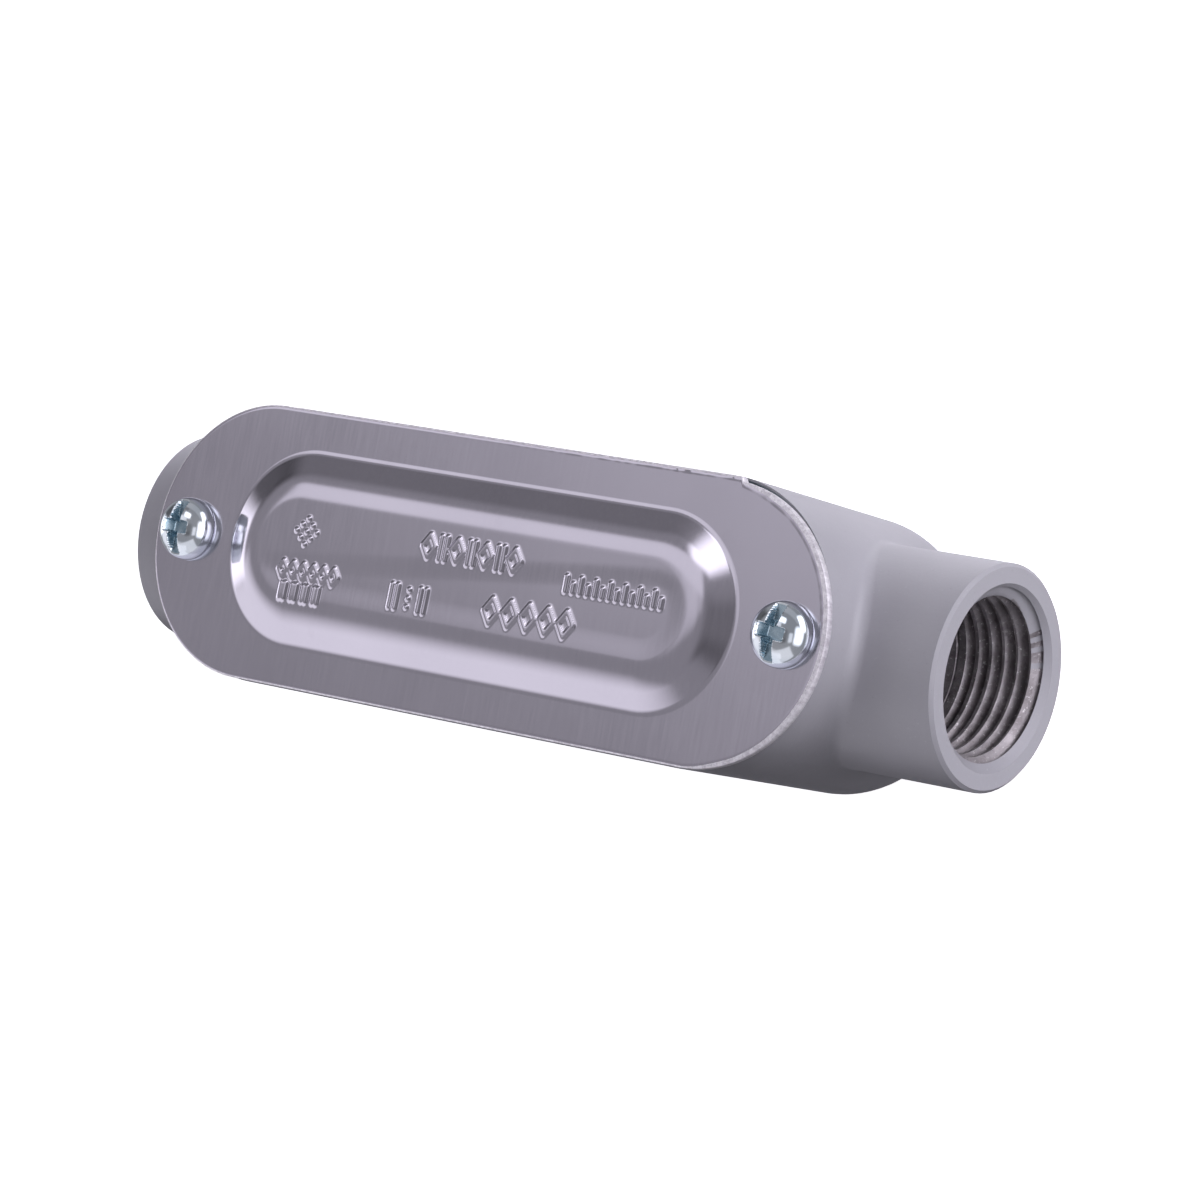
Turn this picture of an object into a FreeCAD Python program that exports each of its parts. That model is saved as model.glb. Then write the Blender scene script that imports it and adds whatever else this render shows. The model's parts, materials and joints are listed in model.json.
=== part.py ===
import FreeCAD, Part
import math
import os

# Straight-through threaded conduit body for half-inch rigid conduit.
# A cast housing has a tapped hub at each end and an oval wiring cavity. A gasket and a drawn
# sheet-metal cover close the cavity, and two round-head screws hold them on bosses in the casting.
# Frame: X along the conduit, Z up out of the cover, origin under the middle of the flat back.
# All lengths are millimetres.

V = FreeCAD.Vector
ORIGIN = V(0, 0, 0)
ALONG = V(1, 0, 0)
ACROSS = V(0, 1, 0)
UP = V(0, 0, 1)
BEYOND = 1.0              # how far a cutting tool runs past the face that it breaks through

# ---- cast housing ----
rim_half_length = 49.6
rim_half_width = 16.78
rim_height = 33.6
draft_deg = 0.84
back_edge_radius = 4.85
wall = 2.9
floor_thickness = 2.7
floor_bevel = 2.6

# ---- hubs: one at each end, on one axis ----
hub_axis_height = 15.3
hub_reach = 60.5          # from the middle of the housing to a hub's face
hub_radius = 13.05
hub_edge_break = 0.4
hub_root_radius = 1.6
core_radius = 9.2         # core of the tapped hole
mouth_radius = 10.8       # chamfer at the hub's face
throat_radius = 8.0       # smooth throat that guards the wires
throat_lip = 1.2
throat_step = 0.6
throat_length = 4.5
collar_radius = 11.0      # ring inside the cavity that carries the throat
collar_reach = 4.2        # how far it stands into the cavity

# ---- screw bosses ----
screw_end_distance = 4.6      # from the end of the rim to the middle of a boss
boss_radius = 4.4
boss_foot_gap = 0.3
boss_foot_height = 1.5
boss_foot_radius = 2.9
tap_depth = 7.1

# ---- gasket ----
gasket_thickness = 0.8
gasket_inset = 0.25
gasket_width = 3.1
gasket_pad_radius = 4.9
gasket_hole_clearance = 0.25

# ---- cover: sheared oval blank with a drawn panel ----
cover_thickness = 1.1
cover_end_overhang = 0.9
cover_side_inset = 0.13
end_crop = 0.25               # the +X end is cropped this much small, which leaves a nick
nick_past_centre = 1.3
nick_run = 0.3
cover_hole_clearance = 0.3
flange_end_width = 12.5
flange_side_width = 5.05
panel_rise = 1.8
panel_slope_run = 4.2
panel_top_bend = 5.0          # outside radius where the slope meets the raised panel
panel_foot_bend = 3.0         # radius in the corner where the slope meets the flange
panel_margin = 1.2            # flat ring round the panel's foot, drawn with the panel

# ---- cover screws ----
screw_radius = 2.07
screw_length = 8.3
tapped_clearance = 0.07
head_radius = 3.82
head_height = 3.3
head_side_height = 0.9
crown_bevel = 1.1         # height and width of the bevel between the head's side and its crown
crown_flat_radius = 1.4
slot_width = 1.15
slot_depth = 1.45
recess_arm_width = 1.1
recess_arm_reach = 1.9
recess_depth = 1.8
slot_angles_deg = {"left": 90.0, "right": 85.0}

# ---- worked out from the above ----
gasket_top = rim_height + gasket_thickness
cover_top = gasket_top + cover_thickness
end_run = rim_half_length - rim_half_width
throat_start = rim_half_length - wall - collar_reach
thread_end = throat_start + throat_length
tapped_radius = screw_radius + tapped_clearance
screw_places = {
    "left": screw_end_distance - rim_half_length,
    "right": rim_half_length - screw_end_distance,
}
cover_half_length = rim_half_length + cover_end_overhang
cover_half_width = rim_half_width - cover_side_inset
panel_half_length = cover_half_length - flange_end_width
panel_half_width = cover_half_width - flange_side_width


def rounded_outline(corners, point):
    """Closed wire through corners (a, b, radius); each corner with a radius becomes a tangent arc."""
    count = len(corners)
    leave = []
    edges = []
    arcs = []
    for i in range(count):
        a, b, radius = corners[i]
        here = V(a, b, 0)
        back = V(corners[i - 1][0], corners[i - 1][1], 0) - here
        ahead = V(corners[(i + 1) % count][0], corners[(i + 1) % count][1], 0) - here
        back.normalize()
        ahead.normalize()
        if radius <= 0:
            arcs.append(None)
            leave.append((here, here))
            continue
        half_angle = back.getAngle(ahead) / 2
        trim = radius / math.tan(half_angle)
        bisector = back + ahead
        bisector.normalize()
        centre = here + bisector * (radius / math.sin(half_angle))
        arcs.append(centre - bisector * radius)
        leave.append((here + back * trim, here + ahead * trim))
    for i in range(count):
        start, end = leave[i]
        if arcs[i] is not None:
            edges.append(Part.Arc(point(start), point(arcs[i]), point(end)).toShape())
        following = leave[(i + 1) % count][0]
        if end.distanceToPoint(following) > 1e-6:
            edges.append(Part.makeLine(point(end), point(following)))
    return Part.Wire(edges)


def oval_solid(corners, run):
    """Sweep a half section (distance from the middle line, height) round an oval of two half circles."""
    half = Part.Face(rounded_outline(corners, lambda p: V(0, p.x, p.y)))
    side = half.translated(V(-run, 0, 0)).extrude(V(2 * run, 0, 0))
    other_side = side.mirror(ORIGIN, ACROSS)
    right_end = half.translated(V(run, 0, 0)).revolve(V(run, 0, 0), UP, -180)
    left_end = half.translated(V(-run, 0, 0)).revolve(V(-run, 0, 0), UP, 180)
    return side.fuse([other_side, right_end, left_end]).removeSplitter()


def turned_on_hub_axis(corners):
    """Solid of revolution on the hub axis from a section (distance along X, radius)."""
    section = Part.Face(rounded_outline(corners, lambda p: V(p.x, 0, hub_axis_height + p.y)))
    return section.revolve(V(0, 0, hub_axis_height), ALONG, 360)


def at_both_ends(solid):
    return [solid, solid.mirror(ORIGIN, ALONG)]


def drilled(radius, bottom, top):
    """One cylinder at each screw's place."""
    return [Part.makeCylinder(radius, top - bottom, V(x, 0, bottom)) for x in screw_places.values()]


def make_outer_form():
    """Drafted oval box with a rounded back edge, a hub at each end and fillets at the hubs' roots."""
    back_half_width = rim_half_width - rim_height * math.tan(math.radians(draft_deg))
    box = oval_solid([
        (0, 0, 0),
        (back_half_width, 0, back_edge_radius),
        (rim_half_width, rim_height, 0),
        (0, rim_height, 0),
    ], end_run)
    hub = turned_on_hub_axis([
        (end_run, 0, 0),
        (hub_reach, 0, 0),
        (hub_reach, hub_radius - hub_edge_break, 0),
        (hub_reach - hub_edge_break, hub_radius, 0),
        (end_run, hub_radius, 0),
    ])
    form = box.fuse(at_both_ends(hub)).removeSplitter()
    return form.makeFillet(hub_root_radius, [e for e in form.Edges if is_hub_root(e)])


def is_hub_root(edge):
    """True for an edge where a hub's side leaves the end of the box."""
    ends = [v.Point for v in edge.Vertexes]
    middle = edge.valueAt((edge.FirstParameter + edge.LastParameter) / 2)
    for p in ends + [middle]:
        off_axis = math.hypot(p.y, p.z - hub_axis_height)
        on_hub = abs(off_axis - hub_radius) < 1e-3
        outside_end_run = abs(p.x) > end_run + BEYOND
        short_of_face = abs(p.x) < hub_reach - 2 * hub_edge_break
        if not (on_hub and outside_end_run and short_of_face):
            return False
    lies_along = len(ends) == 2 and abs(ends[0].x - ends[1].x) > abs(ends[0].z - ends[1].z) + \
        abs(ends[0].y - ends[1].y)
    return not lies_along


def make_cavity():
    """Room for the wires: the drafted oval hollow, less the throat collars and the screw bosses."""
    slope = math.tan(math.radians(draft_deg))
    top = rim_height + BEYOND
    inside = rim_half_width - wall
    bevel_top = floor_thickness + floor_bevel
    hollow = oval_solid([
        (0, floor_thickness, 0),
        (inside - (rim_height - floor_thickness) * slope - floor_bevel, floor_thickness, 0),
        (inside - (rim_height - bevel_top) * slope, bevel_top, 0),
        (inside + BEYOND * slope, top, 0),
        (0, top, 0),
    ], end_run)
    collar = turned_on_hub_axis([
        (throat_start, 0, 0),
        (hub_reach, 0, 0),
        (hub_reach, collar_radius, 0),
        (throat_start, collar_radius, 0),
    ])
    foot = hub_axis_height + throat_radius + throat_lip + boss_foot_gap
    bosses = []
    for x in screw_places.values():
        cone = Part.makeCone(boss_foot_radius, boss_radius, boss_foot_height, V(x, 0, foot))
        column_foot = foot + boss_foot_height
        column = Part.makeCylinder(boss_radius, top - column_foot, V(x, 0, column_foot))
        bosses.append(cone.fuse(column))
    return hollow.cut(at_both_ends(collar) + bosses)


def make_hub_bore():
    """Cutting tool for one hub: mouth chamfer, core of the thread, step and rounded throat."""
    chamfer = mouth_radius - core_radius
    return turned_on_hub_axis([
        (throat_start - BEYOND, 0, 0),
        (throat_start - BEYOND, throat_radius + throat_lip, 0),
        (throat_start, throat_radius + throat_lip, 0),
        (throat_start + throat_lip, throat_radius, 0),
        (thread_end - throat_step, throat_radius, 0),
        (thread_end, core_radius, 0),
        (hub_reach - chamfer, core_radius, 0),
        (hub_reach + BEYOND, mouth_radius + BEYOND, 0),
        (hub_reach + BEYOND, 0, 0),
    ])


def make_conduit_body():
    casting = make_outer_form().cut(make_cavity())
    casting = casting.cut(at_both_ends(make_hub_bore()))
    return casting.cut(drilled(tapped_radius, rim_height - tap_depth, rim_height + BEYOND))


def make_gasket():
    """Flat ring on the rim that widens to a pad round each screw."""
    outer = rim_half_width - gasket_inset
    blank = oval_solid([
        (0, rim_height, 0),
        (outer, rim_height, 0),
        (outer, gasket_top, 0),
        (0, gasket_top, 0),
    ], end_run)
    inner = outer - gasket_width
    opening = oval_solid([
        (0, rim_height - BEYOND, 0),
        (inner, rim_height - BEYOND, 0),
        (inner, gasket_top + BEYOND, 0),
        (0, gasket_top + BEYOND, 0),
    ], end_run)
    opening = opening.cut(drilled(gasket_pad_radius, rim_height - 2 * BEYOND, gasket_top + 2 * BEYOND))
    holes = drilled(screw_radius + gasket_hole_clearance, rim_height - BEYOND, gasket_top + BEYOND)
    return blank.cut([opening] + holes)


def make_cover_blank():
    """Sheared outline: a full half circle at -X and a slightly small, nicked end at +X."""
    left_centre = cover_half_width - cover_half_length
    end_radius = cover_half_width - end_crop
    right_centre = cover_half_length - end_radius
    nick_x = right_centre + nick_past_centre
    nick_y = math.sqrt(end_radius ** 2 - nick_past_centre ** 2) - end_crop
    corner_angle = math.radians(45)
    z = gasket_top
    far_left = V(-cover_half_length, 0, z)
    far_right = V(right_centre + end_radius * math.cos(corner_angle),
                  -end_crop - end_radius * math.sin(corner_angle), z)
    top_left = V(left_centre, cover_half_width, z)
    low_left = V(left_centre, -cover_half_width, z)
    low_right = V(right_centre, -end_crop - end_radius, z)
    nick_low = V(nick_x, nick_y, z)
    nick_high = V(nick_x - nick_run, cover_half_width, z)
    outline = Part.Wire([
        Part.Arc(top_left, far_left, low_left).toShape(),
        Part.makeLine(low_left, low_right),
        Part.Arc(low_right, far_right, nick_low).toShape(),
        Part.makeLine(nick_low, nick_high),
        Part.makeLine(nick_high, top_left),
    ])
    return Part.Face(outline).extrude(UP * cover_thickness)


def make_cover():
    """Sheet of one thickness: the flat blank with a panel drawn up out of its middle."""
    slope = math.atan2(panel_rise, panel_slope_run)
    inward = cover_thickness * math.tan(slope / 2)    # offset of the bends on the sheet's underside
    panel_run = panel_half_length - panel_half_width
    ring = panel_half_width + panel_margin
    crest = panel_half_width - panel_slope_run
    outer_top = cover_top + panel_rise
    panel = oval_solid([
        (0, outer_top, 0),
        (crest, outer_top, panel_top_bend),
        (panel_half_width, cover_top, panel_foot_bend),
        (ring, cover_top, 0),
        (ring, gasket_top, 0),
        (panel_half_width - inward, gasket_top, 0),
        (crest - inward, outer_top - cover_thickness, 0),
        (0, outer_top - cover_thickness, 0),
    ], panel_run)
    opening = oval_solid([
        (0, gasket_top - BEYOND, 0),
        (ring, gasket_top - BEYOND, 0),
        (ring, cover_top + BEYOND, 0),
        (0, cover_top + BEYOND, 0),
    ], panel_run)
    sheet = make_cover_blank().cut(opening).fuse(panel).removeSplitter()
    return sheet.cut(drilled(screw_radius + cover_hole_clearance, gasket_top - BEYOND, cover_top + BEYOND))


def make_screw(side):
    """Round-head machine screw with a driving slot and cross; its thread is a plain shank."""
    tip = cover_top - screw_length
    shoulder = cover_top + head_side_height
    crown = cover_top + head_height
    points = [
        V(crown_flat_radius, 0, crown),
        V(0, 0, crown),
        V(0, 0, tip),
        V(screw_radius, 0, tip),
        V(screw_radius, 0, cover_top),
        V(head_radius, 0, cover_top),
        V(head_radius, 0, shoulder),
        V(head_radius - crown_bevel, 0, shoulder + crown_bevel),
        V(crown_flat_radius, 0, crown),
    ]
    screw = Part.Face(Part.makePolygon(points)).revolve(ORIGIN, UP, 360)
    slot = Part.makeBox(2 * head_radius + 2 * BEYOND, slot_width, slot_depth + BEYOND,
                        V(-head_radius - BEYOND, -slot_width / 2, crown - slot_depth))
    arms = []
    for angle in (0, 90):
        arm = Part.makeBox(2 * recess_arm_reach, recess_arm_width, recess_depth + BEYOND,
                           V(-recess_arm_reach, -recess_arm_width / 2, crown - recess_depth))
        arm.rotate(ORIGIN, UP, angle)
        arms.append(arm)
    screw = screw.cut([slot] + arms)
    screw.rotate(ORIGIN, UP, slot_angles_deg[side])
    screw.translate(V(screw_places[side], 0, 0))
    return screw


pieces = {
    "conduit_body": make_conduit_body(),
    "gasket": make_gasket(),
    "cover": make_cover(),
    "cover_screw_left": make_screw("left"),
    "cover_screw_right": make_screw("right"),
}

os.makedirs("parts", exist_ok=True)
for name, shape in pieces.items():
    solid = shape.Solids[0]
    box = solid.BoundBox
    print(name, "valid", shape.isValid(), "solids", len(shape.Solids), "volume %.1f" % solid.Volume,
          "x %.2f..%.2f" % (box.XMin, box.XMax), "y %.2f..%.2f" % (box.YMin, box.YMax),
          "z %.2f..%.2f" % (box.ZMin, box.ZMax))
    solid.exportStep("parts/" + name + ".step")
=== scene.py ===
import json
import math

import bmesh
import bpy
import numpy as np
from mathutils import Matrix, Vector, noise


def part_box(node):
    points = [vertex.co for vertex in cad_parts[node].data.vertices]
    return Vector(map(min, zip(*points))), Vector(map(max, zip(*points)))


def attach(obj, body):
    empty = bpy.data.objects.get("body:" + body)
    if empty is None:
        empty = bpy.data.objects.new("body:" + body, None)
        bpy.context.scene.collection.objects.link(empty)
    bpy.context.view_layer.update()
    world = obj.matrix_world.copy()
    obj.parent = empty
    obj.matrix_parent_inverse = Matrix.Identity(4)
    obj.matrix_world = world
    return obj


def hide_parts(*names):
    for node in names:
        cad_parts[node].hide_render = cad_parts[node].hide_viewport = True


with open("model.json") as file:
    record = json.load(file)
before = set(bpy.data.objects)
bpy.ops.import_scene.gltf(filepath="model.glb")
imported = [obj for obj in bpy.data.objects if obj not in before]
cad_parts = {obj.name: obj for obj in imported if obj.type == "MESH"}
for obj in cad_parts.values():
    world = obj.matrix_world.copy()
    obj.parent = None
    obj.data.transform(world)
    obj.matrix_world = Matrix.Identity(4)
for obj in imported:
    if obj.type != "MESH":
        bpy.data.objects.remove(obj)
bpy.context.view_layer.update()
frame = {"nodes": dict(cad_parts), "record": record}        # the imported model, in metres, +Z out of the cover
MM = 0.001

# ---- sizes read from the frame ----
COVER_LOW, COVER_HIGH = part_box("cover")
HUBS = [m for m in frame["record"]["mounts"] if m["kind"] == "threaded_hole"]
HUB_HEIGHT = HUBS[0]["pos_m"][2]
CORE_RADIUS = HUBS[0]["dims"]["r_mm"] * MM
THREAD_LENGTH = HUBS[0]["dims"]["length_mm"] * MM
HUB_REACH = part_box("conduit_body")[1].x

# ---- cover's sheet and outline ----
SHEET = 1.1 * MM
COVER_HALF_LENGTH = COVER_HIGH.x
COVER_HALF_WIDTH = COVER_HIGH.y
FLANGE_TOP = COVER_LOW.z + SHEET
END_CROP = 0.25 * MM          # how much narrower the +X end is on its +Y side
NICK_PAST_CENTRE = 1.3 * MM   # the nicked corner, past the centre of the +X end
NICK_RUN = 0.3 * MM
SCREW_HOLE_RADIUS = 2.37 * MM
EDGE_ROLL = 0.22 * MM         # lip that the shear rolled over
BURR_HEIGHT = 0.06 * MM
TORN_SIDE_X = -20 * MM        # the edge is torn from here on its +Y side
TORN_END_X = 34 * MM          # and from here all round the +X end
BURR_START_X = -24 * MM
BURR_FULL_RUN = 45 * MM
LIP_WIDENS_RUN = 6 * MM       # the lip widens to its full width over this length of the +X end

# ---- cover's raised panel ----
PANEL_TOP = COVER_HIGH.z
PANEL_HALF_LENGTH = COVER_HALF_LENGTH - 12.5 * MM
PANEL_HALF_WIDTH = COVER_HALF_WIDTH - 5.05 * MM
PANEL_RUN = PANEL_HALF_LENGTH - PANEL_HALF_WIDTH
PANEL_SLOPE_RUN = 3.98 * MM
PANEL_TOP_BEND = 9.0 * MM
PANEL_FOOT_BEND = 2.0 * MM
PANEL_MARGIN = 1.2 * MM
SINK_DEPTH = 0.055 * MM       # how far the panel sinks on the -Y side of a slanting line
SINK_PLACE = 0.9 * MM         # where that line crosses the middle
SINK_SLANT = 0.106
SINK_WIDTH = 3 * MM
SINK_REACH = 6.2 * MM         # the sinking ends this far from the panel's middle line
GRID_OFFSET = 7.0 * MM        # how far from its middle line the panel is a fine grid
GRID_GAP = 0.12 * MM          # between the grid and the ring round it

# ---- raised marks on the panel ----
MARK_HEIGHT = 0.2 * MM
STROKE = 0.2 * MM             # half width of a raised stroke's flat top
STROKE_SIDE = 0.27 * MM       # run of its sloping side
STROKE_WINDOW = 2.5 * MM      # a stroke lies within this distance of its middle
MARK_GRID = 0.155 * MM

# ---- hub thread: 14 turns per inch, 60 degree form, taper 1 in 16 on diameter ----
INCH = 25.4 * MM
PITCH = INCH / 14
THREAD_ROOT_RADIUS = 10.55 * MM
THREAD_ROOT_FLAT = 0.035 * MM
THREAD_INNER_RADIUS = CORE_RADIUS - 0.1 * MM
THREAD_FLANK_DEG = 30
THREAD_TAPER = 1 / 32
THREAD_STEPS = 96
THREAD_START = HUB_REACH + 0.4 * MM
BORE_END = HUBS[0]["pos_m"][0] - THREAD_LENGTH / 2
THREAD_RUN_OUT = 0.6 * MM     # the thread stops this far short of the bore's inner end
PAINTED_MOUTH = 1.45 * MM     # the chamfer at the hub's mouth, which is painted

# ---- cover screws ----
SHANK_RADIUS = 2.07 * MM
SCREW_LENGTH = 8.3 * MM
SCREW_PITCH = INCH / 32
SCREW_THREAD_DEPTH = 0.42 * MM
SCREW_TIP_BEVEL = 0.5 * MM
HEAD_BAND = 0.35 * MM         # straight band under the dome of the head
HEAD_BEVEL = 0.12 * MM
SLOT_HALF_WIDTH = 0.74 * MM
SLOT_SIDE = 0.16 * MM         # run of the slot's sloping side
SLOT_DEPTH = 1.45 * MM
CROSS_HALF_WIDTH = 0.7 * MM
CROSS_SIDE = 0.2 * MM
CROSS_REACH = 2.1 * MM
CROSS_DEPTH = 1.8 * MM
RECESS_START = 0.25 * MM      # deeper than this, the head's surface counts as the recess
SLOT_ANGLES_DEG = {"left": 90.0, "right": 85.0}
AROUND = 180                  # points round a screw


# ================= node helpers =================

def new_material(name):
    material = bpy.data.materials.new(name)
    material.use_nodes = True
    tree = material.node_tree
    tree.nodes.clear()
    shader = tree.nodes.new("ShaderNodeBsdfPrincipled")
    output = tree.nodes.new("ShaderNodeOutputMaterial")
    tree.links.new(shader.outputs[0], output.inputs["Surface"])
    return material, tree, shader


def object_coords(tree, scale=(1, 1, 1)):
    """Object coordinates, stretched by scale."""
    coords = tree.nodes.new("ShaderNodeTexCoord")
    mapping = tree.nodes.new("ShaderNodeMapping")
    mapping.inputs["Scale"].default_value = scale
    tree.links.new(coords.outputs["Object"], mapping.inputs["Vector"])
    return mapping.outputs[0]


def noise_value(tree, vector, scale, detail=2.0, roughness=0.5):
    node = tree.nodes.new("ShaderNodeTexNoise")
    node.inputs["Scale"].default_value = scale
    node.inputs["Detail"].default_value = detail
    node.inputs["Roughness"].default_value = roughness
    tree.links.new(vector, node.inputs["Vector"])
    return node.outputs["Fac"]


def remap(tree, value, from_low, from_high, to_low, to_high, smooth=False):
    node = tree.nodes.new("ShaderNodeMapRange")
    node.interpolation_type = "SMOOTHSTEP" if smooth else "LINEAR"
    for index, number in enumerate((from_low, from_high, to_low, to_high)):
        node.inputs[index + 1].default_value = number
    tree.links.new(value, node.inputs["Value"])
    return node.outputs[0]


def math_node(tree, operation, *values):
    node = tree.nodes.new("ShaderNodeMath")
    node.operation = operation
    for index, value in enumerate(values):
        if isinstance(value, (int, float)):
            node.inputs[index].default_value = value
        else:
            tree.links.new(value, node.inputs[index])
    return node.outputs[0]


def mix_colour(tree, factor, first, second, blend="MIX"):
    node = tree.nodes.new("ShaderNodeMix")
    node.data_type = "RGBA"
    node.blend_type = blend
    for socket, value in ((node.inputs[0], factor), (node.inputs[6], first), (node.inputs[7], second)):
        if isinstance(value, (int, float)):
            socket.default_value = value
        elif isinstance(value, tuple):
            socket.default_value = (*value, 1.0)
        else:
            tree.links.new(value, socket)
    return node.outputs[2]


def bump(tree, height, distance, strength, under=None):
    node = tree.nodes.new("ShaderNodeBump")
    node.inputs["Strength"].default_value = strength
    node.inputs["Distance"].default_value = distance
    tree.links.new(height, node.inputs["Height"])
    if under is not None:
        tree.links.new(under, node.inputs["Normal"])
    return node.outputs[0]


# ================= materials =================
# Noise scales are per metre, and bump distances are metres.

def make_paint():
    """Satin grey enamel over a fine-grained casting."""
    material, tree, shader = new_material("painted_casting")
    shader.inputs["Specular IOR Level"].default_value = 0.4
    coords = object_coords(tree)
    clouds = noise_value(tree, coords, 60, 3)
    grain = noise_value(tree, coords, 2600, 2, 0.6)
    shades = remap(tree, clouds, 0.35, 0.65, 0, 1)
    base = mix_colour(tree, shades, (0.325, 0.318, 0.352), (0.352, 0.345, 0.378))
    base = mix_colour(tree, remap(tree, grain, 0.66, 0.78, 0, 0.45), base, (0.46, 0.45, 0.49))
    base = mix_colour(tree, remap(tree, grain, 0.34, 0.22, 0, 0.4), base, (0.24, 0.235, 0.26))
    tree.links.new(base, shader.inputs["Base Color"])
    tree.links.new(remap(tree, clouds, 0.3, 0.7, 0.34, 0.44), shader.inputs["Roughness"])
    peel = bump(tree, noise_value(tree, coords, 420, 2), 0.00006, 0.5)
    fine = bump(tree, grain, 0.00002, 0.5, peel)
    tree.links.new(fine, shader.inputs["Normal"])
    return material


def make_thread_metal():
    """Tapped aluminium: torn, oily flanks, their colour darkened throughout as painted shade of the bore, with
    bright specks that are partly burr bits and partly painted glints.
    """
    material, tree, shader = new_material("tapped_aluminium")
    coords = object_coords(tree)
    grit = noise_value(tree, coords, 2200, 3, 0.7)
    stains = noise_value(tree, coords, 300, 3)
    shades = remap(tree, stains, 0.35, 0.65, 0, 1)
    # both tones are darkened as painted shade of the bore's interior, on top of the oily stains
    base = mix_colour(tree, shades, (0.22, 0.20, 0.21), (0.42, 0.39, 0.41))
    # bright specks: partly burr bits, partly painted glints
    base = mix_colour(tree, remap(tree, grit, 0.60, 0.70, 0, 0.8), base, (0.78, 0.75, 0.77))
    base = mix_colour(tree, remap(tree, grit, 0.42, 0.34, 0, 0.35), base, (0.12, 0.10, 0.11))
    tree.links.new(base, shader.inputs["Base Color"])
    shader.inputs["Metallic"].default_value = 0.75
    tree.links.new(remap(tree, grit, 0.3, 0.7, 0.28, 0.5), shader.inputs["Roughness"])
    tree.links.new(bump(tree, grit, 0.00008, 0.7), shader.inputs["Normal"])
    return material


def make_cover_sheet():
    """Bare rolled sheet: satin, with fine rolling streaks and faint stains."""
    material, tree, shader = new_material("cover_sheet")
    plain = object_coords(tree)
    streaks = noise_value(tree, object_coords(tree, (1, 0.06, 1)), 3200, 2, 0.6)
    clouds = noise_value(tree, plain, 45, 3)
    stains = noise_value(tree, plain, 130, 4, 0.6)
    shades = remap(tree, clouds, 0.35, 0.65, 0, 1)
    base = mix_colour(tree, shades, (0.60, 0.572, 0.645), (0.645, 0.615, 0.69))
    base = mix_colour(tree, remap(tree, streaks, 0.3, 0.7, 0, 0.15), base, (0.70, 0.675, 0.74))
    base = mix_colour(tree, remap(tree, stains, 0.60, 0.75, 0, 0.2), base, (0.50, 0.47, 0.53))
    tree.links.new(base, shader.inputs["Base Color"])
    shader.inputs["Metallic"].default_value = 1.0
    tree.links.new(remap(tree, streaks, 0.25, 0.75, 0.11, 0.15), shader.inputs["Roughness"])
    waves = bump(tree, noise_value(tree, plain, 55, 1), 0.00010, 0.2)
    fine = bump(tree, streaks, 0.0000012, 0.5, waves)
    tree.links.new(fine, shader.inputs["Normal"])
    return material


def make_sheared_edge():
    """The cover's cut edge: bright torn metal."""
    material, tree, shader = new_material("sheared_edge")
    grit = noise_value(tree, object_coords(tree, (1, 1, 0.3)), 1500, 3, 0.7)
    shades = remap(tree, grit, 0.38, 0.6, 0, 1)
    base = mix_colour(tree, shades, (0.60, 0.57, 0.62), (0.86, 0.83, 0.88))
    tree.links.new(base, shader.inputs["Base Color"])
    shader.inputs["Metallic"].default_value = 0.5
    tree.links.new(remap(tree, grit, 0.3, 0.7, 0.45, 0.28), shader.inputs["Roughness"])
    tree.links.new(bump(tree, grit, 0.00010, 0.4), shader.inputs["Normal"])
    return material


def make_zinc():
    """Bright blue-white zinc plate."""
    material, tree, shader = new_material("screw_zinc")
    coords = object_coords(tree)
    clouds = noise_value(tree, coords, 320, 2)
    shades = remap(tree, clouds, 0.35, 0.65, 0, 1)
    base = mix_colour(tree, shades, (0.66, 0.73, 0.78), (0.78, 0.83, 0.86))
    tree.links.new(base, shader.inputs["Base Color"])
    shader.inputs["Metallic"].default_value = 1.0
    tree.links.new(remap(tree, clouds, 0.3, 0.7, 0.07, 0.13), shader.inputs["Roughness"])
    tree.links.new(bump(tree, noise_value(tree, coords, 260, 1), 0.00004, 0.25), shader.inputs["Normal"])
    return material


def make_recess_zinc():
    """The same plate in the recess: darker as painted shade, and duller."""
    material, tree, shader = new_material("shaded_recess_zinc")
    clouds = noise_value(tree, object_coords(tree), 900, 2)
    shades = remap(tree, clouds, 0.35, 0.65, 0, 1)
    # darker teal tones: painted shade of the recess
    base = mix_colour(tree, shades, (0.30, 0.42, 0.49), (0.46, 0.57, 0.63))
    tree.links.new(base, shader.inputs["Base Color"])
    shader.inputs["Metallic"].default_value = 1.0
    tree.links.new(remap(tree, clouds, 0.3, 0.7, 0.16, 0.28), shader.inputs["Roughness"])
    tree.links.new(bump(tree, clouds, 0.00003, 0.3), shader.inputs["Normal"])
    return material


def make_gasket_sheet():
    """Dark fibre-filled gasket sheet."""
    material, tree, shader = new_material("gasket_sheet")
    grain = noise_value(tree, object_coords(tree), 1800, 3, 0.7)
    shades = remap(tree, grain, 0.35, 0.7, 0, 1)
    base = mix_colour(tree, shades, (0.018, 0.024, 0.030), (0.06, 0.075, 0.09))
    tree.links.new(base, shader.inputs["Base Color"])
    tree.links.new(remap(tree, grain, 0.3, 0.7, 0.55, 0.8), shader.inputs["Roughness"])
    tree.links.new(bump(tree, grain, 0.00005, 0.6), shader.inputs["Normal"])
    return material


# ================= mesh helpers =================

def object_from(name, bm, materials, body):
    """Makes the piece and lets it ride on its body."""
    mesh = bpy.data.meshes.new(name)
    bm.to_mesh(mesh)
    bm.free()
    piece = bpy.data.objects.new(name, mesh)
    bpy.context.scene.collection.objects.link(piece)
    for material in materials:
        mesh.materials.append(material)
    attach(piece, body)
    return piece


def shade_by_angle(bm, degrees):
    """Smooth shading, broken at edges sharper than the angle."""
    limit = math.radians(degrees)
    for face in bm.faces:
        face.smooth = True
    for edge in bm.edges:
        edge.smooth = not (edge.is_manifold and edge.calc_face_angle(0) > limit)


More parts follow.
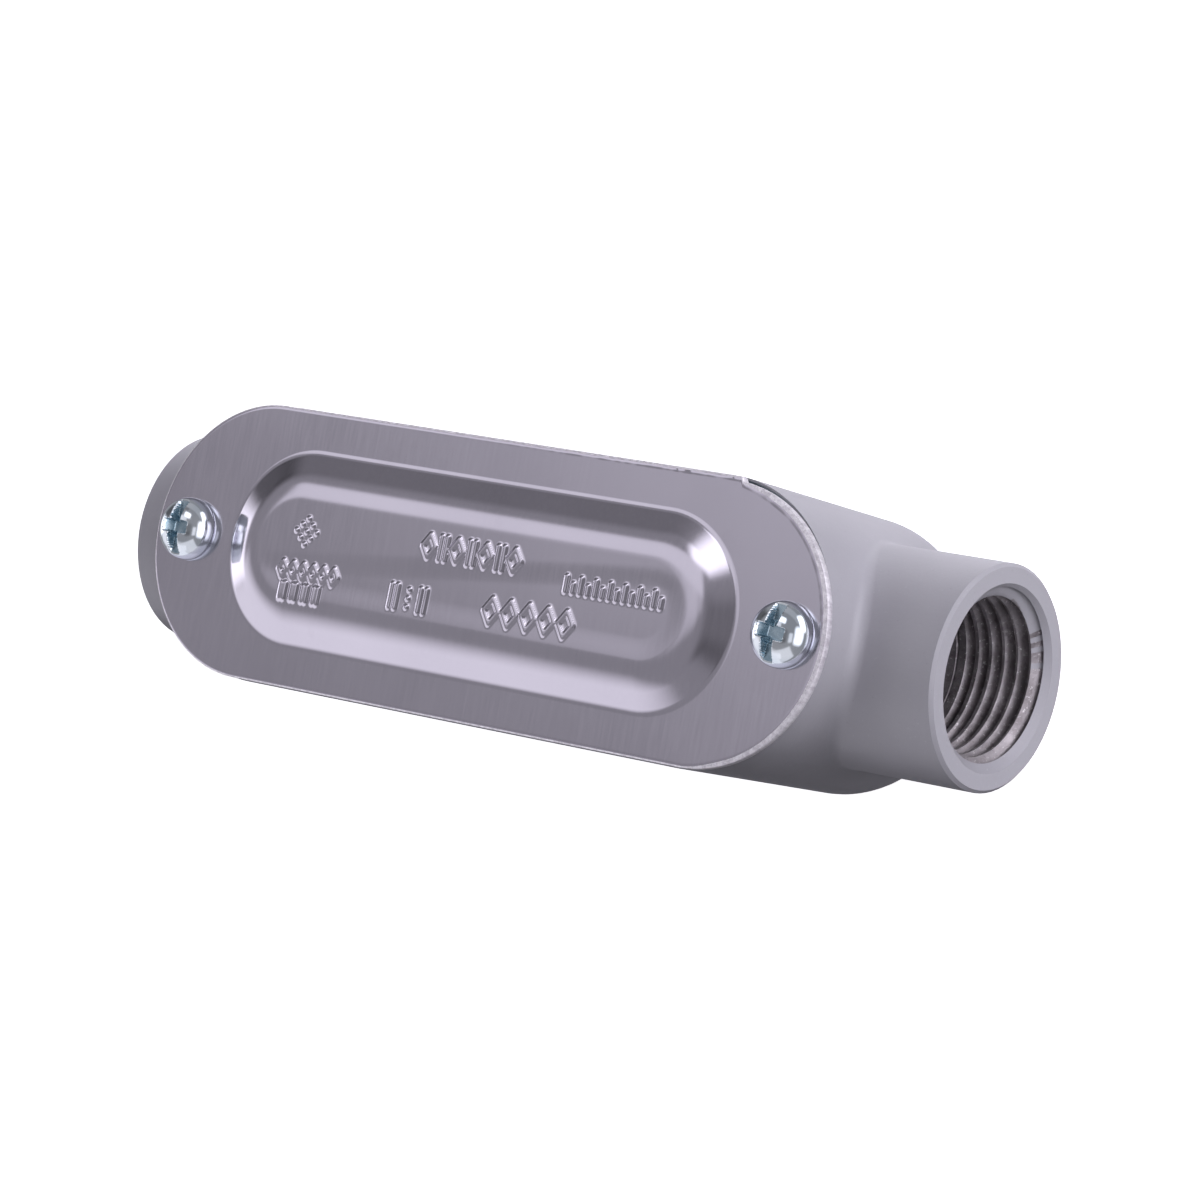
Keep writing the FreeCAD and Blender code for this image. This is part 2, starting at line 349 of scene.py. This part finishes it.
def weigh_normals(piece):
    """Big flat faces keep their normals, and the narrow faces beside them look rounded."""
    modifier = piece.modifiers.new("normals", "WEIGHTED_NORMAL")
    modifier.keep_sharp = True
    modifier.weight = 80


def add_ring(bm, points):
    return [bm.verts.new(p) for p in points]


def bridge(bm, outer, inner, material_index=0):
    """Quads between two closed rings with the same number of points."""
    count = len(outer)
    for i in range(count):
        j = (i + 1) % count
        face = bm.faces.new((outer[i], outer[j], inner[j], inner[i]))
        face.material_index = material_index


def fill_between(bm, rings, material_index=0):
    """Flat fill of the area between closed rings that lie in one plane."""
    edges = []
    for ring in rings:
        for i in range(len(ring)):
            pair = (ring[i], ring[(i + 1) % len(ring)])
            edges.append(bm.edges.get(pair) or bm.edges.new(pair))
    made = bmesh.ops.triangle_fill(bm, use_beauty=True, use_dissolve=False, edges=edges)
    for item in made["geom"]:
        if isinstance(item, bmesh.types.BMFace):
            item.material_index = material_index


# ================= cover =================

def stadium(offset, height, run, straight_steps=30, end_steps=48):
    """Closed ring round a straight middle line, seen anticlockwise from +Z."""
    points = []
    for side in (1, -1):
        for i in range(end_steps):
            angle = math.pi * i / end_steps - side * math.pi / 2
            x = side * run + offset * math.cos(angle)
            points.append(Vector((x, offset * math.sin(angle), height)))
        for i in range(straight_steps):
            x = side * run * (1 - 2 * i / straight_steps)
            points.append(Vector((x, side * offset, height)))
    return points


def bend_profile(corners, arc_steps):
    """Points (offset, height) along corners (offset, height, radius), rounded by tangent arcs."""
    points = []
    for i, (a, b, radius) in enumerate(corners):
        here = Vector((a, b))
        if radius == 0:
            points.append(here)
            continue
        back = (Vector(corners[i - 1][:2]) - here).normalized()
        ahead = (Vector(corners[i + 1][:2]) - here).normalized()
        half = back.angle(ahead) / 2
        bisector = (back + ahead).normalized()
        centre = here + bisector * (radius / math.sin(half))
        start = here + back * (radius / math.tan(half)) - centre
        sweep = start.angle_signed(here + ahead * (radius / math.tan(half)) - centre)
        for k in range(arc_steps + 1):
            turned = start.copy()
            turned.rotate(Matrix.Rotation(-sweep * k / arc_steps, 2))
            points.append(centre + turned)
    return points


def mark_strokes():
    """Raised strokes ((x0, y0), (x1, y1)) in millimetres: rows of bars, pips and diamonds."""
    strokes = []

    def row(x, y, step, count, shapes, size):
        for i in range(count):
            for ends in shapes[i % len(shapes)]:
                strokes.append([(x + i * step + a * size, y + b * size) for a, b in ends])

    bar = [((0, -0.5), (0, 0.5))]
    short_bar = [((0, -0.5), (0, 0.05))]
    double_bar = [((-0.16, -0.5), (-0.16, 0.5)), ((0.16, -0.5), (0.16, 0.5))]
    pips = [((0, y), (0, y)) for y in (-0.38, 0, 0.38)]
    tips = [(0, -0.5), (0.36, 0), (0, 0.5), (-0.36, 0)]
    diamond = list(zip(tips, tips[1:] + tips[:1]))
    row(-27.6, -2.75, 1.6, 6, [diamond], 1.9)
    row(-27.0, -5.3, 1.75, 4, [double_bar], 1.8)
    row(-9.9, -3.6, 2.2, 3, [double_bar, pips], 2.7)
    row(-6.0, 2.85, 2.15, 7, [diamond, double_bar], 2.7)
    row(4.9, -3.3, 2.75, 5, [diamond], 3.0)
    row(14.9, 1.3, 1.06, 14, [bar, short_bar], 1.7)
    for i in (-1, 0, 1):
        for j in (-1, 0, 1):
            pip = (-25.0 + 0.78 * (i + j), 2.05 + 0.78 * (i - j))
            strokes.append([pip, pip])
    return strokes


def mark_heights(xs, ys):
    """Height of the raised marks over a grid of points."""
    height = np.zeros_like(xs)
    for (ax, ay), (bx, by) in mark_strokes():
        ax, ay, bx, by = (v * MM for v in (ax, ay, bx, by))
        run_x, run_y = bx - ax, by - ay
        length2 = run_x ** 2 + run_y ** 2
        near = np.abs(xs - (ax + bx) / 2) < STROKE_WINDOW
        near &= np.abs(ys - (ay + by) / 2) < STROKE_WINDOW
        px, py = xs[near], ys[near]
        along = ((px - ax) * run_x + (py - ay) * run_y) / length2 if length2 > 0 else np.zeros_like(px)
        along = np.clip(along, 0, 1)
        away = np.hypot(px - ax - along * run_x, py - ay - along * run_y)
        t = np.clip((STROKE + STROKE_SIDE - away) / STROKE_SIDE, 0, 1)
        height[near] = np.maximum(height[near], MARK_HEIGHT * t * t * (3 - 2 * t))
    return height


def marked_plateau(bm, crown, border_ring, spacing, flip):
    """Fine grid with the raised marks, filled out to the ring round it."""
    inner = GRID_OFFSET - GRID_GAP
    half_x, half_y = PANEL_RUN + inner, inner
    columns, rows = int(2 * half_x / spacing) | 1, int(2 * half_y / spacing) | 1
    across, along = np.linspace(-half_y, half_y, rows), np.linspace(-half_x, half_x, columns)
    gx, gy = np.meshgrid(along, across, indexing="ij")
    offset = np.hypot(np.maximum(np.abs(gx) - PANEL_RUN, 0), gy)
    fade = np.clip((SINK_REACH - offset) / SINK_WIDTH, 0, 1)
    sunk = np.clip(0.5 - (gy - SINK_PLACE - SINK_SLANT * gx) / SINK_WIDTH, 0, 1)
    gz = mark_heights(gx, gy) + crown(offset)
    gz -= SINK_DEPTH * fade * fade * (3 - 2 * fade) * sunk * sunk * (3 - 2 * sunk)
    inside = offset <= inner + 1e-9
    grid = {}
    for i in range(columns - 1):
        for j in range(rows - 1):
            cell = ((i, j), (i + 1, j), (i + 1, j + 1), (i, j + 1))
            if not all(inside[c] for c in cell):
                continue
            for c in cell:
                if c not in grid:
                    grid[c] = bm.verts.new((gx[c], gy[c], gz[c]))
            corners = [grid[c] for c in cell]
            bm.faces.new(corners[::-1] if flip else corners)
    # the grid's border, walked point by point into a ring
    follow = {}
    for edge in dict.fromkeys(e for v in grid.values() for e in v.link_edges if e.is_boundary):
        for a, b in (edge.verts, reversed(edge.verts)):
            follow.setdefault(a, []).append(b)
    start = next(iter(follow))
    ring, last = [start], None
    while True:
        step = [v for v in follow[ring[-1]] if v is not last][0]
        if step is start:
            break
        last = ring[-1]
        ring.append(step)
    fill_between(bm, [ring, border_ring])


def cover_outline(inset, height, step=0.4 * MM):
    """The sheared outline, moved in by inset: a full -X end, a cropped and nicked +X end."""
    left_centre = COVER_HALF_WIDTH - COVER_HALF_LENGTH
    radius = COVER_HALF_WIDTH - END_CROP
    right_centre = COVER_HALF_LENGTH - radius
    nick_x = right_centre + NICK_PAST_CENTRE
    nick_angle = math.acos(NICK_PAST_CENTRE / (radius - inset))
    top, bottom = COVER_HALF_WIDTH - inset, inset - COVER_HALF_WIDTH
    points = []
    count = int((right_centre - left_centre) / step)
    for i in range(count):
        points.append((left_centre + (right_centre - left_centre) * i / count, bottom))
    count = int(radius * (math.pi / 2 + nick_angle) / step)
    for i in range(count + 1):
        angle = -math.pi / 2 + (math.pi / 2 + nick_angle) * i / count
        points.append((right_centre + (radius - inset) * math.cos(angle),
                       -END_CROP + (radius - inset) * math.sin(angle)))
    count = int((nick_x - left_centre) / (0.5 * step))
    for i in range(count):
        points.append((nick_x - NICK_RUN + (left_centre - nick_x + NICK_RUN) * i / count, top))
    count = int(COVER_HALF_WIDTH * math.pi / (2 * step))
    for i in range(count):
        angle = math.pi / 2 + math.pi * i / count
        points.append((left_centre + (COVER_HALF_WIDTH - inset) * math.cos(angle),
                       (COVER_HALF_WIDTH - inset) * math.sin(angle)))
    return [Vector((x, y, height)) for x, y in points]


def roughen_edge(points, amount):
    """Small uneven shifts in the plane, strongest where the shear tore the +Y side and the +X end."""
    moved = []
    for p in points:
        torn = 1.0 if p.x > TORN_SIDE_X and p.y > 0 or p.x > TORN_END_X else 0.35
        shift = noise.noise(p * 900) * 0.6 + noise.noise(p * 2600) * 0.4
        inward = Vector((-p.x if abs(p.x) > TORN_END_X else 0, -p.y, 0)).normalized()
        moved.append(p + inward * amount * torn * (0.5 + 0.5 * shift))
    return moved


def rolled_in(points, amount):
    """Moves points in towards the middle of the +X end, where the shear rolled the edge wider."""
    centre = Vector((COVER_HALF_LENGTH - COVER_HALF_WIDTH, 0, 0))
    moved = []
    for p in points:
        t = max(0.0, min(1.0, (p.x - centre.x) / LIP_WIDENS_RUN))
        away = Vector((p.x - centre.x, p.y, 0)).normalized()
        moved.append(p - away * amount * t * t * (3 - 2 * t))
    return moved


def burr_rise(p):
    """Height of the burr that stands along the torn part of the edge."""
    if p.y < 0 or p.x < BURR_START_X:
        return 0.0
    strength = min(1.0, (p.x - BURR_START_X) / BURR_FULL_RUN) ** 2
    uneven = 0.55 + 0.9 * noise.noise(p * 1400) + 0.5 * noise.noise(p * 420)
    return BURR_HEIGHT * strength * max(0.0, min(1.0, uneven))


def circle(x, radius, height, steps=48):
    turns = [2 * math.pi * i / steps for i in range(steps)]
    return [Vector((x + radius * math.cos(t), radius * math.sin(t), height)) for t in turns]


def make_cover(sheet, edge_metal):
    """Drawn sheet: raised panel with its marks, flat flange, screw holes and sheared edge."""
    bm = bmesh.new()
    slope = math.atan2(PANEL_TOP - FLANGE_TOP, PANEL_SLOPE_RUN)
    inward = SHEET * math.tan(slope / 2)
    crest = PANEL_HALF_WIDTH - PANEL_SLOPE_RUN
    ring_offset = PANEL_HALF_WIDTH + PANEL_MARGIN
    bend_start = crest - PANEL_TOP_BEND * math.tan(slope / 2)
    bottom = COVER_LOW.z
    low_top, low_bend = PANEL_TOP - SHEET, PANEL_TOP_BEND - SHEET
    top_profile = bend_profile([
        (0, PANEL_TOP, 0), (crest, PANEL_TOP, PANEL_TOP_BEND),
        (PANEL_HALF_WIDTH, FLANGE_TOP, PANEL_FOOT_BEND), (ring_offset, FLANGE_TOP, 0)], 16)
    low_profile = bend_profile([
        (0, low_top, 0), (crest - inward, low_top, low_bend),
        (PANEL_HALF_WIDTH - inward, bottom, PANEL_FOOT_BEND + SHEET), (ring_offset, bottom, 0)], 10)

    def crown_of(top, radius):
        """Height over the distance from the middle line: flat, then the start of the bend."""
        def height(offset):
            return top - radius + np.sqrt(radius ** 2 - np.maximum(offset - bend_start, 0) ** 2)
        return height

    def slope_rings(profile, crown):
        """Rings from the fine grid's border down the slope to the flange."""
        kept = [p for p in profile if p[0] > GRID_OFFSET + 0.1 * MM]
        profile = [(GRID_OFFSET, float(crown(GRID_OFFSET)))] + kept
        return [add_ring(bm, stadium(offset, height, PANEL_RUN)) for offset, height in profile]

    top_crown = crown_of(PANEL_TOP, PANEL_TOP_BEND)
    low_crown = crown_of(low_top, low_bend)
    top_rings = slope_rings(top_profile, top_crown)
    for inner, outer in zip(top_rings, top_rings[1:]):
        bridge(bm, outer, inner)
    low_rings = slope_rings(low_profile, low_crown)
    for inner, outer in zip(low_rings, low_rings[1:]):
        bridge(bm, inner, outer)
    marked_plateau(bm, top_crown, top_rings[0], MARK_GRID, False)
    marked_plateau(bm, low_crown, low_rings[0], 2 * MARK_GRID, True)

    # edge: a flat, a rolled lip with its burr, the sheared wall and the underside
    flat = [rolled_in(cover_outline(3.2 * EDGE_ROLL, FLANGE_TOP), 0.45 * MM),
            rolled_in(cover_outline(2.4 * EDGE_ROLL, FLANGE_TOP), 0.4 * MM)]
    crown = roughen_edge(cover_outline(0.9 * EDGE_ROLL, FLANGE_TOP), 0.05 * MM)
    crown = [p + Vector((0, 0, burr_rise(p))) for p in rolled_in(crown, 0.35 * MM)]
    shoulder = cover_outline(0.25 * EDGE_ROLL, FLANGE_TOP - 0.35 * EDGE_ROLL)
    shoulder = [p + Vector((0, 0, 0.8 * burr_rise(p))) for p in roughen_edge(shoulder, 0.05 * MM)]
    wall = [roughen_edge(cover_outline(0, FLANGE_TOP - EDGE_ROLL), 0.04 * MM),
            roughen_edge(cover_outline(0.02 * MM, bottom + 0.45 * SHEET), 0.05 * MM),
            roughen_edge(cover_outline(0.04 * MM, bottom + 0.15 * MM), 0.05 * MM)]
    underside = cover_outline(0.15 * MM, bottom)
    edge = [add_ring(bm, points) for points in flat + [crown, shoulder] + wall + [underside]]
    for index, (inner, outer) in enumerate(zip(edge, edge[1:])):
        bridge(bm, inner, outer, 0 if index < len(flat) else 1)

    top_holes, low_holes = [], []
    for side in ("left", "right"):
        low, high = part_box("cover_screw_" + side)
        x = (low.x + high.x) / 2
        upper = add_ring(bm, circle(x, SCREW_HOLE_RADIUS, FLANGE_TOP))
        lower = add_ring(bm, circle(x, SCREW_HOLE_RADIUS, bottom))
        bridge(bm, upper, lower, 1)
        top_holes.append(upper)
        low_holes.append(lower)
    fill_between(bm, [edge[0], top_rings[-1]] + top_holes)
    fill_between(bm, [edge[-1], low_rings[-1]] + low_holes)
    bmesh.ops.recalc_face_normals(bm, faces=bm.faces)
    shade_by_angle(bm, 42)
    piece = object_from("drawn_cover", bm, [sheet, edge_metal], "cover")
    weigh_normals(piece)
    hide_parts("cover")
    return piece


# ================= screws =================

def smooth_mask(distance, half_width, side):
    """1 inside half_width, 0 past it by side, smooth between."""
    t = max(0.0, min(1.0, (half_width + side - distance) / side))
    return t * t * (3 - 2 * t)


def make_screw(side, zinc, shaded_recess_zinc):
    """Round head with a driving slot and cross recess, and a threaded shank."""
    name = "cover_screw_" + side
    low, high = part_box(name)
    centre_x = (low.x + high.x) / 2
    head_radius = (high.x - low.x) / 2
    seat = FLANGE_TOP
    head_height = high.z - seat
    angle = math.radians(SLOT_ANGLES_DEG[side])
    slot_floor = high.z - SLOT_DEPTH
    bm = bmesh.new()
    sunk = set()             # numbers of the points that lie in the recess

    def ring_at(radius, height, carve):
        ring = []
        for i in range(AROUND):
            turn = 2 * math.pi * i / AROUND
            x, y = radius * math.cos(turn), radius * math.sin(turn)
            z = height
            if carve:
                u = x * math.cos(angle) + y * math.sin(angle)
                v = -x * math.sin(angle) + y * math.cos(angle)
                slot = smooth_mask(abs(v), SLOT_HALF_WIDTH - 0.06 * MM, SLOT_SIDE)
                z = min(z, z + (slot_floor - z) * slot)
                reach = max(0.0, 1 - max(abs(u), abs(v)) / CROSS_REACH)
                floor = high.z - CROSS_DEPTH * min(1.0, 2.2 * reach)
                arm = max(smooth_mask(abs(w), CROSS_HALF_WIDTH - CROSS_SIDE / 2, CROSS_SIDE)
                          for w in (u, v))
                if reach > 0:
                    z = min(z, z + (floor - z) * arm)
                if height - z > RECESS_START:
                    sunk.add(len(bm.verts))
            ring.append(bm.verts.new((centre_x + x, y, z)))
        return ring

    rings = [ring_at(0.02 * MM, high.z, True)]
    bm.faces.new(rings[0][::-1])
    dome_steps = 72
    for k in range(1, dome_steps + 1):
        t = math.pi / 2 * k / dome_steps
        radius = head_radius * math.sin(t) ** 0.92
        height = seat + HEAD_BAND + (head_height - HEAD_BAND) * math.cos(t) ** 0.86
        rings.append(ring_at(radius, height, True))
    rings.append(ring_at(head_radius, seat + HEAD_BEVEL, False))
    rings.append(ring_at(head_radius - HEAD_BEVEL, seat, False))
    rings.append(ring_at(SHANK_RADIUS, seat, False))
    for outer, inner in zip(rings, rings[1:]):
        bridge(bm, outer, inner)
    # faces in the recess take the zinc that is darkened as painted shade
    bm.verts.index_update()
    for face in bm.faces:
        face.material_index = 1 if all(v.index in sunk for v in face.verts) else 0

    # shank: a helical groove, running out under the head and at the tip
    shank_steps = 110
    previous = rings[-1]
    tip = seat - SCREW_LENGTH
    for k in range(1, shank_steps + 1):
        height = seat - SCREW_LENGTH * k / shank_steps
        ring = []
        for i in range(AROUND):
            turn = i / AROUND
            phase = (height / SCREW_PITCH - turn) % 1.0
            groove = max(0.0, 1 - abs(phase - 0.5) / 0.42)
            run_in = (height - tip) / SCREW_TIP_BEVEL + 0.3
            run_out = (seat - 1.0 * MM - height) / (0.8 * MM)
            fade = min(1.0, run_out, run_in)
            radius = SHANK_RADIUS - SCREW_THREAD_DEPTH * groove * max(0.0, fade)
            radius = min(radius, SHANK_RADIUS - SCREW_TIP_BEVEL + (height - tip))
            ring.append(bm.verts.new((centre_x + radius * math.cos(2 * math.pi * turn),
                                      radius * math.sin(2 * math.pi * turn), height)))
        bridge(bm, previous, ring)
        previous = ring
    bm.faces.new(previous)
    bmesh.ops.recalc_face_normals(bm, faces=bm.faces)
    shade_by_angle(bm, 60)
    materials = [zinc, shaded_recess_zinc]
    piece = object_from("zinc_screw_" + side, bm, materials, "screw_" + side)
    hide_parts(name)
    return piece


# ================= cast body with its hub threads =================

def thread_plug(sign):
    """Closed helical ridge that cuts a right-hand tapered thread into a hub's core."""
    bm = bmesh.new()
    end = BORE_END + THREAD_RUN_OUT
    turns = (THREAD_START - end) / PITCH
    steps = int(turns * THREAD_STEPS)
    previous = None
    for k in range(steps + 1):
        depth = k / THREAD_STEPS * PITCH
        along = THREAD_START - depth
        left = (along - end) / PITCH
        root = THREAD_ROOT_RADIUS - depth * THREAD_TAPER
        # the thread grows shallow over its last 0.8 turn
        root = THREAD_INNER_RADIUS + 0.02 * MM + (root - THREAD_INNER_RADIUS) * min(1.0, left / 0.8)
        # the ridge turns the same way round +X at both hubs, so both threads are right-handed
        turn = 2 * math.pi * along / PITCH * sign
        flank = (root - THREAD_INNER_RADIUS) * math.tan(math.radians(THREAD_FLANK_DEG))
        wide = THREAD_ROOT_FLAT + flank
        section = []
        for radius, half in ((THREAD_INNER_RADIUS, wide), (root, THREAD_ROOT_FLAT),
                             (root, -THREAD_ROOT_FLAT), (THREAD_INNER_RADIUS, -wide)):
            section.append(bm.verts.new((sign * (along + half), radius * math.cos(turn),
                                         HUB_HEIGHT + radius * math.sin(turn))))
        if previous is None:
            bm.faces.new(section)
        else:
            for i in range(4):
                j = (i + 1) % 4
                bm.faces.new((previous[i], previous[j], section[j], section[i]))
        previous = section
    bm.faces.new(previous[::-1])
    bmesh.ops.recalc_face_normals(bm, faces=bm.faces)
    mesh = bpy.data.meshes.new("thread_plug")
    bm.to_mesh(mesh)
    bm.free()
    return bpy.data.objects.new("thread_plug", mesh)


def make_cast_body(paint, thread_metal):
    """The casting as the CAD made it, with both threads cut and their flanks bare."""
    source = frame["nodes"]["conduit_body"]
    bm = bmesh.new()
    bm.from_mesh(source.data)
    bmesh.ops.remove_doubles(bm, verts=bm.verts, dist=0.001 * MM)
    piece = object_from("cast_body", bm, [paint, thread_metal], "housing")
    for polygon in piece.data.polygons:
        polygon.material_index = 0
    plugs = [thread_plug(1), thread_plug(-1)]
    for plug in plugs:
        bpy.context.scene.collection.objects.link(plug)
        cut = piece.modifiers.new("thread", "BOOLEAN")
        cut.operation = "DIFFERENCE"
        cut.solver = "EXACT"
        cut.object = plug
    bpy.context.view_layer.update()
    shaped = piece.evaluated_get(bpy.context.evaluated_depsgraph_get())
    cut_mesh = bpy.data.meshes.new_from_object(shaped)
    piece.modifiers.clear()
    for plug in plugs:
        bpy.data.objects.remove(plug)
    bm = bmesh.new()
    bm.from_mesh(cut_mesh)
    bmesh.ops.remove_doubles(bm, verts=bm.verts, dist=0.002 * MM)
    # faces of the tapped bore take the bare metal, whose colour is darkened as painted shade of the bore
    for face in bm.faces:
        middle = face.calc_center_median()
        off_axis = math.hypot(middle.y, middle.z - HUB_HEIGHT)
        in_bore = BORE_END - 0.7 * MM < abs(middle.x) < HUB_REACH - PAINTED_MOUTH
        in_thread = CORE_RADIUS - 0.5 * MM < off_axis < THREAD_ROOT_RADIUS + 0.1 * MM
        face.material_index = 1 if in_bore and in_thread else 0
    shade_by_angle(bm, 38)
    bm.to_mesh(piece.data)
    bm.free()
    if not piece.data.materials:
        piece.data.materials.append(paint)
        piece.data.materials.append(thread_metal)
    weigh_normals(piece)
    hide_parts("conduit_body")
    return piece


# ================= studio =================

ROOM_LEVEL = 0.315
ROOM_TINT = (1.0, 0.98, 1.06)
LIGHT_TINT = (1.0, 0.985, 1.05)
LIGHT_SPREAD_DEG = 40
LENS_MM = 146.7
CAMERA_PLACE = (0.3583, -0.0140, 0.4753)

def make_floor():
    """Pale floor that neither shades nor mirrors in the part."""
    bm = bmesh.new()
    bmesh.ops.create_grid(bm, x_segments=1, y_segments=1, size=6)
    mesh = bpy.data.meshes.new("floor")
    bm.to_mesh(mesh)
    bm.free()
    floor = bpy.data.objects.new("floor", mesh)
    bpy.context.scene.collection.objects.link(floor)
    material, tree, shader = new_material("floor_white")
    shader.inputs["Base Color"].default_value = (0.9, 0.9, 0.9, 1)
    shader.inputs["Roughness"].default_value = 0.9
    shader.inputs["Emission Color"].default_value = (1, 1, 1, 1)
    shader.inputs["Emission Strength"].default_value = 0.75
    mesh.materials.append(material)
    floor.visible_glossy = False
    floor.visible_diffuse = False
    floor.visible_shadow = False


def card(tree, direction, long_axis, half_long, half_short, soft):
    """Mask of a far card: 1 on it, 0 off it. Sizes are tangents of angles seen from the object."""
    c = Vector(direction).normalized()
    u = Vector(long_axis)
    u = (u - c * u.dot(c)).normalized()
    v = c.cross(u)
    coords = tree.nodes.new("ShaderNodeTexCoord").outputs["Generated"]

    def along(axis):
        node = tree.nodes.new("ShaderNodeVectorMath")
        node.operation = "DOT_PRODUCT"
        node.inputs[1].default_value = axis
        tree.links.new(coords, node.inputs[0])
        return node.outputs["Value"]

    depth = math_node(tree, "MAXIMUM", along(c), 0.001)
    mask = math_node(tree, "GREATER_THAN", along(c), 0.001)
    soft_long, soft_short = soft if isinstance(soft, tuple) else (soft, soft)
    for axis, half, edge in ((u, half_long, soft_long), (v, half_short, soft_short)):
        off = math_node(tree, "ABSOLUTE", math_node(tree, "DIVIDE", along(axis), depth))
        mask = math_node(tree, "MULTIPLY", mask, remap(tree, off, half - edge, half + edge, 1, 0, True))
    return mask


def make_world():
    """Studio that only reflections see: soft boxes and dark cards in a dim grey room."""
    world = bpy.data.worlds.new("studio")
    bpy.context.scene.world = world
    world.use_nodes = True
    world.cycles_visibility.diffuse = False
    tree = world.node_tree
    tree.nodes.clear()
    total = None
    boxes = [
        # direction, long axis, half long, half short, softness, strength
        ((0.72, 0.62, -0.05), (1, -1, 0), 0.45, 0.30, 0.15, 2.4),       # bright table, +Y side
        ((0.10, 0.92, 0.30), (1, 0, 0), 0.9, 0.35, 0.2, 0.45),          # far wall, +Y
        ((-0.40, 0.24, 0.88), (1, 0, 0), 0.33, 0.212, (0.12, 0.028), 0.61),  # overhead strip, dim
        ((-0.455, 0.283, 0.843), (1, 0, 0), 0.38, 0.178, 0.06, 0.88),      # overhead strip
        ((-0.40, 0.12, 0.91), (1, 0, 0), 0.22, 0.18, 0.12, 0.72),       # the strip's -Y fringe
        ((-0.12, 0.54, 0.83), (1, 0, 0), 0.20, 0.14, 0.08, 2.0),        # overhead, +Y
        ((0.55, -0.10, 0.83), (1, 0, 0), 0.16, 0.25, 0.10, 0.9),        # overhead, +X
        ((-0.60, -0.70, 0.40), (1, -0.6, 0.2), 0.90, 0.47, (0.1, 0.32), 1.0),  # low side, -Y
        ((-0.50, -0.82, 0.00), (1, -0.5, 0), 0.6, 0.35, 0.15, 1.0),     # its lower part
        ((0.18, -0.88, 0.36), (1, 0, 0), 0.55, 0.60, 0.12, 0.78),       # -Y side
        ((-0.99, 0.00, 0.05), (0, 1, 0), 0.20, 0.25, 0.08, 1.75),        # far left
        ((0.95, 0.05, 0.30), (0, 1, 0), 0.5, 0.45, 0.25, 2.0),          # +X side
        ((0.60, 0.10, -0.80), (1, 0, 0), 0.5, 0.5, 0.3, 1.1),           # bright table in front
    ]
    for direction, long_axis, half_long, half_short, soft, strength in boxes:
        mask = card(tree, direction, long_axis, half_long, half_short, soft)
        lit = math_node(tree, "MULTIPLY", mask, strength)
        total = lit if total is None else math_node(tree, "MAXIMUM", total, lit)
    total = math_node(tree, "MAXIMUM", total, ROOM_LEVEL)
    for direction, long_axis, half_long, half_short, soft, kept in [
            ((-0.61, 0.62, 0.49), (1, 0, 0), 0.50, 0.10, 0.08, 0.65),       # dark gap, +Y
            ((-0.93, 0.35, 0.15), (0, 1, 0), 0.20, 0.25, 0.10, 0.40),       # dark far corner
            ((0.14, -0.05, 0.98), (1, 0, 0), 0.18, 0.28, 0.10, 0.65),       # dark patch overhead
            ((0.12, -0.24, 0.96), (1, 0, 0), 0.16, 0.10, 0.08, 0.7),        # its -Y end
            ((-0.40, -0.45, -0.80), (1, 0, 0), 0.6, 0.6, 0.2, 0.15)]:       # shaded table
        mask = card(tree, direction, long_axis, half_long, half_short, soft)
        total = math_node(tree, "MULTIPLY", total, remap(tree, mask, 0, 1, 1, kept))
    background = tree.nodes.new("ShaderNodeBackground")
    tint = mix_colour(tree, 1.0, ROOM_TINT, (1, 1, 1), "MULTIPLY")
    scaled = tree.nodes.new("ShaderNodeVectorMath")
    scaled.operation = "SCALE"
    tree.links.new(tint, scaled.inputs[0])
    tree.links.new(total, scaled.inputs["Scale"])
    tree.links.new(scaled.outputs[0], background.inputs["Color"])
    output = tree.nodes.new("ShaderNodeOutputWorld")
    tree.links.new(background.outputs[0], output.inputs["Surface"])


def make_lights():
    """Broad soft lights for the matt surfaces: (azimuth, elevation in degrees, strength)."""
    for index, (azimuth, elevation, strength) in enumerate([
            (120, -40, 0.70),     # light thrown up by the bright table behind
            (150, -40, 0.60),
            (120, -5, 0.50),
            (30, 10, 0.57),
            (30, -15, 0.33),
            (210, 10, 0.24),
            (0, 60, 0.27),
            (0, 25, 0.20),
            (180, 50, 0.17),
            (250, 35, 0.10)]):
        data = bpy.data.lights.new("soft_%d" % index, "SUN")
        data.energy = strength * math.pi
        data.angle = math.radians(LIGHT_SPREAD_DEG)
        data.color = LIGHT_TINT
        light = bpy.data.objects.new("soft_%d" % index, data)
        bpy.context.scene.collection.objects.link(light)
        a, e = math.radians(azimuth), math.radians(elevation)
        towards = Vector((math.cos(e) * math.cos(a), math.cos(e) * math.sin(a), math.sin(e)))
        light.rotation_euler = towards.to_track_quat("Z", "Y").to_euler()
        light.visible_glossy = False


def make_camera():
    """Looks down on the cover from the +X side."""
    data = bpy.data.cameras.new("camera")
    data.lens = LENS_MM
    data.sensor_width = 36.0
    data.clip_start = 0.02
    camera = bpy.data.objects.new("camera", data)
    bpy.context.scene.collection.objects.link(camera)
    right, up = (0.7795, 0.1945, -0.5955), (-0.1387, 0.9806, 0.1388)
    back = (0.6109, -0.0256, 0.7913)
    turn = Matrix((right, up, back)).transposed()
    camera.matrix_world = Matrix.Translation(CAMERA_PLACE) @ turn.to_4x4()
    bpy.context.scene.camera = camera


bpy.context.scene.view_settings.view_transform = "Standard"
paint = make_paint()
thread_metal = make_thread_metal()
sheet = make_cover_sheet()
edge_metal = make_sheared_edge()
zinc = make_zinc()
shaded_recess_zinc = make_recess_zinc()

make_cast_body(paint, thread_metal)
make_cover(sheet, edge_metal)
for side in ("left", "right"):
    make_screw(side, zinc, shaded_recess_zinc)
gasket = frame["nodes"]["gasket"]
gasket.data.materials.clear()
gasket.data.materials.append(make_gasket_sheet())

make_floor()
make_world()
make_lights()
make_camera()
